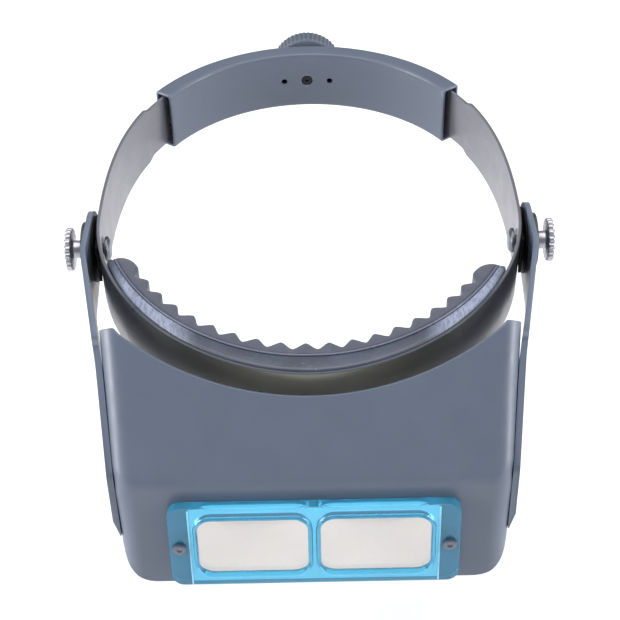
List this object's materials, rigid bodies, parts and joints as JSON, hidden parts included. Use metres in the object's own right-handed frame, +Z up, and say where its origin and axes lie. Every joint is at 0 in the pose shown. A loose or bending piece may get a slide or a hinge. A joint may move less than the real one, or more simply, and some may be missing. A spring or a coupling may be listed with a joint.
{
  "type": "head visor magnifier",
  "caption": "Headband magnifier: a flip-up visor with a clear lens plate on an adjustable padded headband with thumb-screw pivots and a rear size knob.",
  "frame": {"origin": "middle of the head ring between the two visor pivots, at half the height of the band", "axes": "+X to the side along the pivot axis, -Y to the front where the lenses are, +Z up"},
  "size_m": [0.192, 0.258, 0.0868],
  "materials": {
    "grey_moulding": "fine-grained moulded plastic, blue grey, semi-matt",
    "strap_plastic": "smooth satin grey plastic strip",
    "liner_vinyl": "dark slate vinyl with a soft sheen and creases",
    "pad_foam": "matt dark grey ribbed foam",
    "knob_plastic": "knurled grey plastic",
    "black_plastic": "black moulded plastic",
    "disc_plastic": "dark grey moulded plastic",
    "chrome_parts": "bright nickel plate",
    "steel": "zinc-plated steel",
    "plate_screw_metal": "dull grey plated metal",
    "blue_acrylic": "clear cyan-blue acrylic with polished edges",
    "lens_glass": "polished clear glass"
  },
  "bodies": {
    "headband": {"headband_strip": "strap_plastic", "pad_liner": "liner_vinyl", "comfort_pad": "pad_foam", "left_pivot_screw": "steel", "right_pivot_screw": "steel", "left_pivot_spacer": "black_plastic", "right_pivot_spacer": "black_plastic", "left_friction_washer": "black_plastic", "right_friction_washer": "black_plastic"},
    "visor": {"visor_shell": "grey_moulding", "left_arm": "grey_moulding", "right_arm": "grey_moulding", "left_pivot_disc": "disc_plastic", "right_pivot_disc": "disc_plastic", "lens_frame": "blue_acrylic", "left_lens": "lens_glass", "right_lens": "lens_glass", "left_plate_screw": "plate_screw_metal", "right_plate_screw": "plate_screw_metal", "left_plate_nut": "steel", "right_plate_nut": "steel"},
    "left_knob": {"left_thumb_knob": "chrome_parts"},
    "right_knob": {"right_thumb_knob": "chrome_parts"},
    "housing": {"rear_housing": "grey_moulding", "knob_washer": "steel"},
    "size_knob": {"adjust_knob": "knob_plastic", "pinion": "steel", "adjust_screw": "chrome_parts"},
    "left_rack_strip": {"left_rack": "strap_plastic"},
    "right_rack_strip": {"right_rack": "strap_plastic"}
  },
  "joints": [
    {"name": "visor_flip", "type": "hinge", "parent": "headband", "child": "visor", "pos_m": [0, 0, 0], "axis": [-1, 0, 0], "range_deg": [-20, 75]},
    {"name": "left_knob_turn", "type": "hinge", "parent": "headband", "child": "left_knob", "pos_m": [-0.095, 0, 0], "axis": [-1, 0, 0], "range_deg": [0, 360]},
    {"name": "right_knob_turn", "type": "hinge", "parent": "headband", "child": "right_knob", "pos_m": [0.095, 0, 0], "axis": [1, 0, 0], "range_deg": [0, 360]},
    {"name": "size_slide", "type": "slide", "parent": "headband", "child": "housing", "axis": [0, 1, 0], "range_m": [-0.0025, 0.004]},
    {"name": "size_knob_turn", "type": "hinge", "parent": "housing", "child": "size_knob", "pos_m": [0, 0.13, 0], "axis": [0, -1, 0], "range_deg": [-40, 65]},
    {"name": "left_rack_slide", "type": "hinge", "parent": "housing", "child": "left_rack_strip", "pos_m": [0, 0.0465, 0], "axis": [0, 0, 1], "range_deg": [-2.5, 4]},
    {"name": "right_rack_slide", "type": "hinge", "parent": "housing", "child": "right_rack_strip", "pos_m": [0, 0.0465, 0], "axis": [0, 0, 1], "range_deg": [-4, 2.5]}
  ],
  "couplings": [
    {"joint": "size_knob_turn", "follows": "size_slide", "rad_per_m": 277.78},
    {"joint": "left_rack_slide", "follows": "size_slide", "rad_per_m": 14.854},
    {"joint": "right_rack_slide", "follows": "size_slide", "rad_per_m": -14.43}
  ]
}
